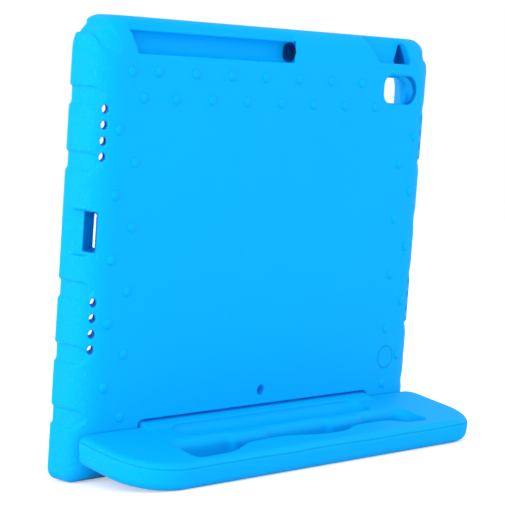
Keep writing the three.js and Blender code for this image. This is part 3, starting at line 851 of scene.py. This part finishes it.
    def button_window(self):
        """Slanted recess for the buttons, with a deeper slot at its far end."""
        high = self.top + PAST
        recess = [
            (BUTTON_FAR, BUTTON_SILL_Z), (BUTTON_FAR + BUTTON_FAR_SLANT, high),
            (BUTTON_NEAR + BUTTON_NEAR_SLANT, high), (BUTTON_NEAR, BUTTON_SILL_Z),
        ]
        near = BUTTON_FAR + BUTTON_SLOT_WIDTH
        tip = near - BUTTON_SLOT_SLANT
        slot_high = BUTTON_SILL_Z + BUTTON_SLOT_HEIGHT
        slot = [
            (BUTTON_FAR, BUTTON_SILL_Z), (tip - BUTTON_SLOT_TIP, slot_high),
            (tip, slot_high), (near, BUTTON_SILL_Z),
        ]
        duct = brick(
            "button_duct",
            (BUTTON_FAR + PAST, POCKET_FRONT + DUCT_CLEARANCE, TABLET_TOP - BUTTON_REACH),
            (near - PAST, -BACK_WALL - DUCT_CLEARANCE, BUTTON_SILL_Z + PAST))
        return (
            loft("button_recess", [upright(recess, -BUTTON_DEPTH), upright(recess, PAST)]),
            loft("button_slot", [upright(slot, -BUTTON_SLOT_DEPTH), upright(slot, PAST)]),
            duct,
        )

    def camera_opening(self):
        side = CAMERA_WIDTH / 2
        up = CAMERA_HEIGHT / 2

        def ring(y, share):
            near = CAMERA_FLARE * share
            far = CAMERA_FAR_FLARE * share
            radii = (CAMERA_INNER_CORNER, CAMERA_INNER_CORNER, up + near, up + near)
            return upright(rounded(
                CAMERA_X - side - far, CAMERA_X + side + near, CAMERA_Z - up - near,
                CAMERA_Z + up + near, radii), y)

        hole = loft("camera_opening", [
            ring(-BACK_WALL - PAST, 0), ring(-BACK_WALL * 0.6, 0.2), ring(-BACK_WALL * 0.25, 0.6),
            ring(0, 1), ring(PAST, 1.5)])
        window = TABLET_HALF - SIDE_OVERLAP
        lip = brick(
            "camera_lip",
            (-window - CAMERA_LIP_REACH, POCKET_FRONT - CAMERA_LIP_DEPTH, CAMERA_Z - up),
            (-window + PAST, POCKET_FRONT + PAST, CAMERA_Z + up - CAMERA_LIP_DROP))
        return hole, lip

    def port_opening(self):
        """Slot for the charging plug, at the deep end of a dish in the side wall."""
        outside = self.half + PAST
        outline = rounded(
            PORT_BACK - PORT_SLOT_WIDTH, PORT_BACK, PORT_Z - PORT_HEIGHT / 2,
            PORT_Z + PORT_HEIGHT / 2, (PORT_CORNER,) * 4, 8)
        slot = loft("port_slot", [across(outline, TABLET_HALF - PAST), across(outline, outside)])
        low = PORT_Z - PORT_DISH_DROP - PORT_DISH_HEIGHT / 2
        corner = PORT_CORNER
        rings = []
        for k in range(PORT_DISH_STEPS + 1):
            t = k / PORT_DISH_STEPS
            y = PORT_DISH_START + (PORT_BACK - PORT_DISH_START) * t
            run = min(max((y - PORT_DISH_START) / (PORT_DISH_FULL - PORT_DISH_START), 0), 1)
            floor = self.half - PORT_DISH_DEPTH * run * run * (3 - 2 * run)
            back = min(max(y - (PORT_BACK - corner), 0), corner)
            inset = corner - sqrt(corner ** 2 - back ** 2)
            side = rounded(
                floor, outside, low + inset, low + PORT_DISH_HEIGHT - inset,
                (SHARP, SHARP, PORT_DISH_CORNER, PORT_DISH_CORNER), 6)
            rings.append([Vector((x, y, z)) for x, z in side])
        dish = loft("port_dish", rings)
        lip = brick(
            "port_lip", (*PORT_LIP_LOW, PORT_Z - PORT_LIP_HALF),
            (*PORT_LIP_HIGH, PORT_Z + PORT_LIP_HALF))
        return slot, dish, lip

    def speaker_holes(self):
        """Oval holes through the shoulders and past the tablet's edge."""
        holes = []
        for side in (1, -1):
            for group in (1, -1):
                for k in range(SPEAKER_COUNT):
                    z = group * SPEAKER_OFFSET + (k - (SPEAKER_COUNT - 1) / 2) * SPEAKER_PITCH
                    middle = Vector((
                        side * (self.half - SPEAKER_FROM_SIDE), -SPEAKER_BELOW_BACK, z))
                    axis = Vector((side * cos(SPEAKER_TILT), sin(SPEAKER_TILT), 0))
                    aside = Vector((-axis.y, axis.x, 0)) * SPEAKER_SQUASH
                    rings = []
                    for far in (-SPEAKER_IN, SPEAKER_OUT):
                        ring = []
                        for step in range(SPEAKER_SIDES):
                            angle = 2 * pi * step / SPEAKER_SIDES
                            spread = aside * cos(angle) + Vector((0, 0, sin(angle)))
                            ring.append(middle + axis * far + spread * SPEAKER_RADIUS)
                        rings.append(ring)
                    holes.append(loft("speaker_hole", rings))
        return join("speaker_holes", holes)

    def small_marks(self):
        """Microphone hole with its duct."""
        hole = rod(
            "microphone_hole", MICROPHONE_RADIUS, (0, -MICROPHONE_DEPTH, MICROPHONE_Z),
            (0, PAST, MICROPHONE_Z))
        duct = brick(
            "microphone_duct", (-MICROPHONE_DUCT_HALF, -MICROPHONE_DEPTH, MICROPHONE_Z),
            (MICROPHONE_DUCT_HALF, -BACK_WALL - PAST, PAST - TABLET_TOP))
        return hole, duct

    def notch(self):
        """Cut-out that the handle's tongue turns in, with the pin's sockets."""
        outline = rounded(
            -NOTCH_HALF, NOTCH_HALF, self.bottom - NOTCH_CORNER, self.bottom + NOTCH_HEIGHT,
            (SHARP, NOTCH_CORNER, NOTCH_CORNER, SHARP), 8)
        space = loft("notch", [upright(outline, self.front - PAST), upright(outline, PAST)])
        reach = NOTCH_HALF + SOCKET_DEPTH
        sockets = rod(
            "sockets", BORE_RADIUS, (-reach, HINGE_Y, self.hinge_z), (reach, HINGE_Y, self.hinge_z))
        return space, sockets

    def dot(self, x, z):
        """Raised dot, tilted where the back curves away at the shoulder."""
        past = max(abs(x) - (self.half - self.shoulder_width), 0) / self.shoulder_width
        rest = sqrt(1 - past * past)
        slope = atan2(self.shoulder_depth * past, self.shoulder_width * rest)
        deselect()
        bpy.ops.mesh.primitive_uv_sphere_add(
            segments=DOT_SIDES, ring_count=DOT_RINGS, radius=1,
            location=(x, -self.shoulder_depth * (1 - rest), z),
            rotation=(pi / 2, 0, -slope if x > 0 else slope),
            scale=(DOT_RADIUS, DOT_RADIUS, DOT_HEIGHT))
        return bpy.context.object

    def dots(self):
        start = DOT_PITCH_X * (DOT_ROW_COUNT - 1) / 2
        places = [(DOT_ROW_END, DOT_ROW_Z), DOT_EXTRA]
        for k in range(DOT_ROW_COUNT):
            x = start - k * DOT_PITCH_X
            places.append((x, DOT_ROW_Z))
            places.append((x + DOT_PITCH_X / 2, DOT_ROW_Z + DOT_UPPER_ROW_RISE))
        for k in range(1, DOT_COLUMN_COUNT + 1):
            z = DOT_ROW_Z - k * DOT_PITCH_Z
            for side in (1, -1):
                places.append((side * DOT_COLUMN_X, z))
                places.append((side * DOT_OUTER_COLUMN_X, z + DOT_PITCH_Z / 2))
        return [self.dot(x, z) for x, z in places]


class OBJECT_OT_foam_case_body(bpy.types.Operator):
    """Model the foam case"""

    bl_idname = "object.foam_case_body"
    bl_label = "Foam Case Body"

    def execute(self, context):
        settings = context.scene.foam_case
        shape = CaseShape(settings)
        body = shape.pillow("foam_case")
        cut(
            body, shape.grip_channels(), *shape.tablet_space(), *shape.stylus_rest(),
            *shape.button_window(), *shape.camera_opening(), *shape.port_opening(),
            shape.speaker_holes(), *shape.small_marks(), *shape.notch())
        mould(body, settings.detail, settings.softening, CASE_FACES)
        body = join("foam_case", [body] + shape.dots())
        placement = (
            Matrix.Translation(HINGE_PLACE)
            @ Matrix.Rotation(-settings.lean, 4, "X")
            @ Matrix.Translation(Vector((0, -HINGE_Y, -shape.hinge_z)) * MM))
        set_down(body, placement)
        body.data.materials.clear()
        body.data.materials.append(case_finish(settings.colour, HINGE_PLACE, settings.lean))
        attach(body, "case")
        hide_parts("case_body")
        return {"FINISHED"}


# The handle

HANDLE_ROOT = 10.0
HANDLE_TOP = 13.0
HANDLE_CORNERS = (7.0, 35.0, 22.0, 7.0)
FOOT_CLEARANCE = 1.1
BARREL_RADIUS = 12.6
RIM = ((21.0, 13.1), (17.0, 14.3), (13.4, 14.9), (9.0, 14.9), (5.0, 14.2))
BARREL_TURN = radians(310)
TONGUE_HALF = 93.2
TONGUE_TIP = 29.8
PARTING_HEIGHT = 10.3

# Hand hole: three bays with two necks between them
HOLE_OUTLINE = (
    (-99, 60.5, 7), (-79, 59.6, 4), (-69, 52, 5), (-39, 52, 5), (-27, 57.4, 5), (-6, 57.4, 6),
    (20, 51.6, 8), (49, 52.6, 6), (69, 61.6, 7), (99, 63, 7),
    (94, 41, 9), (52, 41, 2), (49, 43.2, 2), (23, 43.2, 2), (20, 41, 2),
    (-28, 41, 2), (-31, 43.2, 2), (-57, 43.2, 2), (-60, 41, 2), (-94, 41, 9),
)
HOLE_FLARE = 5.5
HOLE_FLARE_FADE = (52.0, 44.0)
HOLE_END_FLARE = (84.0, 92.0)
HOLE_FLARE_STEPS = 8

# Bores for the sleeves
SLEEVE_BORE_RADIUS = 4.8
SLEEVE_BORE_START = 77.9

# Scoop beside the hinge
SCOOP_HALF = 78.0
SCOOP_NEAR = 17.5
SCOOP_FAR = 34.0
SCOOP_DEPTH = 4.5


class HandleShape:
    """The handle's form in millimetres: x across, y out from the hinge, z out of its top."""

    def __init__(self, settings):
        self.half = settings.length / MM / 2
        self.reach = settings.reach / MM
        self.bottom = HANDLE_TOP - settings.thickness / MM
        self.edge = settings.edge / MM

    def slab(self, steps=8):
        levels = []
        for k in range(steps + 1):
            angle = pi / 2 * k / steps
            levels.append((
                self.bottom + self.edge * (1 - cos(angle)), self.edge * (1 - sin(angle))))
        for k in range(steps + 1):
            angle = pi / 2 * k / steps
            levels.append((
                HANDLE_TOP - self.edge * (1 - sin(angle)), self.edge * (1 - cos(angle))))
        rings = []
        for z, inset in levels:
            side = self.half - inset
            outline = rounded(
                -side, side, HANDLE_ROOT + inset, self.reach - inset, HANDLE_CORNERS, 16)
            rings.append(level(outline, z))
        past = self.half + PAST
        foot = rod("foot", FOOT_RADIUS + FOOT_CLEARANCE, (-past, 0, 0), (past, 0, 0), 96)
        return cut(loft("foam_handle", rings), foot)

    def tongue(self, steps=28):
        """Barrel that turns in the notch, with its web to the slab and a low rim above."""
        section = [(TONGUE_TIP, HANDLE_TOP), *RIM]
        for k in range(steps + 1):
            angle = pi / 2 + (BARREL_TURN - pi / 2) * k / steps
            section.append((BARREL_RADIUS * cos(angle), BARREL_RADIUS * sin(angle)))
        section.append((TONGUE_TIP, self.bottom))
        return loft("tongue", [across(section, -TONGUE_HALF), across(section, TONGUE_HALF)])

    def hand_hole(self):
        """Three bays and two necks; the side towards the hinge opens out at the top."""
        outline = softened(HOLE_OUTLINE)
        start, full = HOLE_FLARE_FADE
        rings = [level(outline, self.bottom - PAST)]
        end_start, end_full = HOLE_END_FLARE
        for k in range(HOLE_FLARE_STEPS + 1):
            angle = pi / 2 * k / HOLE_FLARE_STEPS
            flare = HOLE_FLARE * (1 - cos(angle))
            ring = []
            for x, y in outline:
                share = min(max((start - y) / (start - full), 0), 1)
                end = min(max((abs(x) - end_start) / (end_full - end_start), 0), 1)
                out = share * flare * end * (1 if x > 0 else -1)
                ring.append((x + out, y - share * flare))
            rings.append(level(ring, HANDLE_TOP - HOLE_FLARE * (1 - sin(angle))))
        rings.append(level(ring, HANDLE_TOP + PAST))
        return loft("hand_hole", rings)

    def scoop(self, steps=8):
        """Long shallow hollow with a crisp edge."""
        radius = (SCOOP_FAR - SCOOP_NEAR) / 2
        rings = []
        for k in range(steps + 1):
            angle = pi / 2 * k / steps * 0.97
            inset = radius * (1 - cos(angle))
            outline = rounded(
                -SCOOP_HALF + inset, SCOOP_HALF - inset, SCOOP_NEAR + inset, SCOOP_FAR - inset,
                (radius,) * 4, 14)
            if k == 0:
                rings.append(level(outline, HANDLE_TOP + PAST))
            rings.append(level(outline, HANDLE_TOP - SCOOP_DEPTH * sin(angle)))
        return loft("scoop", rings)

    def bores(self):
        """Bores for the sleeves in both ends of the tongue."""
        right = rod(
            "bore", SLEEVE_BORE_RADIUS, (SLEEVE_BORE_START, 0, 0), (TONGUE_HALF + PAST, 0, 0))
        return right, mirrored(right)


class OBJECT_OT_foam_handle(bpy.types.Operator):
    """Model the handle that serves as the stand"""

    bl_idname = "object.foam_handle"
    bl_label = "Foam Handle"

    def execute(self, context):
        settings = context.scene.foam_handle
        shape = HandleShape(settings)
        body = merge(shape.slab(), shape.tongue())
        cut(body, shape.hand_hole(), shape.scoop(), *shape.bores())
        mould(body, settings.detail, settings.softening, HANDLE_FACES)
        placement = (
            Matrix.Translation(HINGE_PLACE) @ Matrix.Rotation(-settings.slope, 4, "X"))
        set_down(body, placement)
        body.data.materials.clear()
        body.data.materials.append(handle_finish(settings.colour, HINGE_PLACE, settings.slope))
        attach(body, "handle")
        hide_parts("handle_stand")
        return {"FINISHED"}


# The hinge

PIN_RADIUS = 2.5
PIN_START = 78.2
PIN_END = 107.0
FLANGE_RADIUS = 5.5
FLANGE_START = 93.5
FLANGE_END = 94.7
BUSH_RADIUS = 4.5
BUSH_END = 92.9
EDGE_BREAK = 0.3


def turned(name, profile, sides=48):
    """Body turned about the hinge's line; the profile holds (x, radius)."""
    rings = []
    for x, radius in profile:
        ring = []
        for k in range(sides):
            angle = 2 * pi * k / sides
            ring.append(Vector((x, radius * cos(angle), radius * sin(angle))))
        rings.append(ring)
    return loft(name, rings)


def hinge_pin():
    brk = EDGE_BREAK
    return turned("pin_right", [
        (PIN_START, PIN_RADIUS - brk), (PIN_START + brk, PIN_RADIUS),
        (FLANGE_START, PIN_RADIUS), (FLANGE_START, FLANGE_RADIUS - brk),
        (FLANGE_START + brk, FLANGE_RADIUS), (FLANGE_END - brk, FLANGE_RADIUS),
        (FLANGE_END, FLANGE_RADIUS - brk), (FLANGE_END, PIN_RADIUS),
        (PIN_END - brk, PIN_RADIUS), (PIN_END, PIN_RADIUS - brk),
    ])


def hinge_bush():
    brk = EDGE_BREAK
    sleeve = turned("bush_right", [
        (PIN_START, BUSH_RADIUS - brk), (PIN_START + brk, BUSH_RADIUS),
        (BUSH_END - brk, BUSH_RADIUS), (BUSH_END, BUSH_RADIUS - brk),
    ])
    bore = rod("bush_bore", BORE_RADIUS, (PIN_START - PAST, 0, 0), (BUSH_END + PAST, 0, 0), 48)
    return cut(sleeve, bore)


class OBJECT_OT_foam_case_hinge(bpy.types.Operator):
    """Model the pins and sleeves of the hinge"""

    bl_idname = "object.foam_case_hinge"
    bl_label = "Foam Case Hinge"

    def execute(self, context):
        settings = context.scene.foam_case_hinge
        pin_plastic = plastic_finish("pin_plastic", settings.pin_colour)
        bush_plastic = plastic_finish("bush_plastic", settings.bush_colour)
        kinds = (
            (hinge_pin(), "pin", "case", pin_plastic, "pin_plastic"),
            (hinge_bush(), "bush", "handle", bush_plastic, "bush_plastic"),
        )
        for right, kind, body, material, slot in kinds:
            left = mirrored(right)
            left.name = kind + "_left"
            for piece, side in ((right, "right"), (left, "left")):
                set_down(piece, Matrix.Translation(HINGE_PLACE))
                bpy.ops.object.shade_smooth_by_angle(angle=SMOOTH_ANGLE)
                piece.data.materials.clear()
                piece.data.materials.append(material)
                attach(piece, body)
                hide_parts(f"hinge_{kind}_{side}")
        return {"FINISHED"}


# Floor, light and camera

CAMERA_PLACE = (0.75660, 0.70491, 0.15238)
CAMERA_TURN_DEG = (88.0978, 0.6678, 133.6475)
LAMP_PLACE = (1.55, 0.35, 0.5)
LAMP_TARGET = (0.0, 0.0, 0.11)
LAMP_SIZE = 1.2
FLOOR_HALF = 6.0
FLOOR_GLOW = 0.45
FLOOR_SHADE = (0.86, 0.86, 0.86, 1)
SENSOR_WIDTH = 36.0
WHITE = (1, 1, 1, 1)


class SkyFinish(Finish):
    """The world's nodes, with the same methods as a material's."""

    def __init__(self, world):
        world.use_nodes = True
        self.nodes = world.node_tree.nodes
        self.links = world.node_tree.links

    def background(self, strength):
        return self.add("ShaderNodeBackground", None, {"Color": WHITE, "Strength": strength})


def seen(finish):
    """One for rays from the camera, from shiny surfaces and through glass; else nought."""
    names = ("Is Camera Ray", "Is Glossy Ray", "Is Transmission Ray")
    camera, glossy, through = [
        finish.add("ShaderNodeLightPath", output=name) for name in names]
    return camera.maths("MAXIMUM", camera, glossy.maths("MAXIMUM", glossy, through))


def mixed(finish, factor, first, second):
    return finish.add("ShaderNodeMixShader", None, {0: factor, 1: first, 2: second})


class OBJECT_OT_foam_case_studio(bpy.types.Operator):
    """Lay the floor and set the light and the camera"""

    bl_idname = "object.foam_case_studio"
    bl_label = "Foam Case Studio"

    def execute(self, context):
        settings = context.scene.foam_case_studio
        self.floor()
        self.sky(settings.sky, settings.overhead)
        self.lamp(settings.lamp)
        self.camera(settings.lens)
        context.scene.view_settings.view_transform = "Standard"
        return {"FINISHED"}

    def floor(self):
        deselect()
        bpy.ops.mesh.primitive_plane_add(size=2 * FLOOR_HALF, location=(0, 0, 0))
        floor = bpy.context.object
        floor.name = "floor"
        finish = Finish("floor_white", Roughness=0.9, Specular_IOR_Level=0.0)
        finish.shader.inputs["Base Color"].default_value = FLOOR_SHADE
        lit = Wire(finish, finish.shader.outputs[0])
        glow = finish.add("ShaderNodeEmission", None, {"Color": WHITE, "Strength": FLOOR_GLOW})
        bright = finish.add("ShaderNodeAddShader", None, {0: lit, 1: glow})
        surface = finish.nodes["Material Output"].inputs["Surface"]
        finish.feed(surface, mixed(finish, seen(finish), lit, bright))
        floor.data.materials.append(finish.material)

    def sky(self, horizon, overhead):
        world = bpy.data.worlds.new("sky")
        bpy.context.scene.world = world
        finish = SkyFinish(world)
        height = finish.split(finish.add("ShaderNodeTexCoord", output="Generated"))[2]
        light = mixed(
            finish, height.fade(0.05, 0.75), finish.background(horizon),
            finish.background(overhead))
        surface = finish.nodes["World Output"].inputs["Surface"]
        finish.feed(surface, mixed(finish, seen(finish), light, finish.background(1.0)))

    def lamp(self, power):
        deselect()
        aim = Vector(LAMP_TARGET) - Vector(LAMP_PLACE)
        bpy.ops.object.light_add(
            type="AREA", location=LAMP_PLACE, rotation=aim.to_track_quat("-Z", "Y").to_euler())
        lamp = bpy.context.object
        lamp.name = "soft_lamp"
        lamp.data.shape = "SQUARE"
        lamp.data.size = LAMP_SIZE
        lamp.data.energy = power

    def camera(self, lens):
        deselect()
        turn = [radians(angle) for angle in CAMERA_TURN_DEG]
        bpy.ops.object.camera_add(location=CAMERA_PLACE, rotation=turn)
        camera = bpy.context.object
        camera.data.sensor_width = SENSOR_WIDTH
        camera.data.lens = lens
        bpy.context.scene.camera = camera


# Panel

STEPS = (
    OBJECT_OT_foam_case_body, OBJECT_OT_foam_handle, OBJECT_OT_foam_case_hinge,
    OBJECT_OT_foam_case_studio,
)
SETTINGS = (
    (FoamCaseSettings, "foam_case"), (FoamHandleSettings, "foam_handle"),
    (HingeSettings, "foam_case_hinge"), (StudioSettings, "foam_case_studio"),
)


class VIEW3D_PT_foam_case(bpy.types.Panel):
    """Sizes, colours and steps of the foam case"""

    bl_label = "Foam Case"
    bl_space_type = "VIEW_3D"
    bl_region_type = "UI"
    bl_category = "Foam Case"

    def draw(self, context):
        for (group, name), step in zip(SETTINGS, STEPS):
            box = self.layout.box()
            box.operator(step.bl_idname)
            values = getattr(context.scene, name)
            for key in group.__annotations__:
                box.prop(values, key)


def register():
    for group, name in SETTINGS:
        bpy.utils.register_class(group)
        setattr(bpy.types.Scene, name, PointerProperty(type=group))
    for step in STEPS:
        bpy.utils.register_class(step)
    bpy.utils.register_class(VIEW3D_PT_foam_case)


def unregister():
    bpy.utils.unregister_class(VIEW3D_PT_foam_case)
    for step in reversed(STEPS):
        bpy.utils.unregister_class(step)
    for group, name in reversed(SETTINGS):
        delattr(bpy.types.Scene, name)
        bpy.utils.unregister_class(group)


def main():
    register()
    bpy.ops.object.foam_case_body()
    bpy.ops.object.foam_handle()
    bpy.ops.object.foam_case_hinge()
    bpy.ops.object.foam_case_studio()


if __name__ == "__main__":
    main()
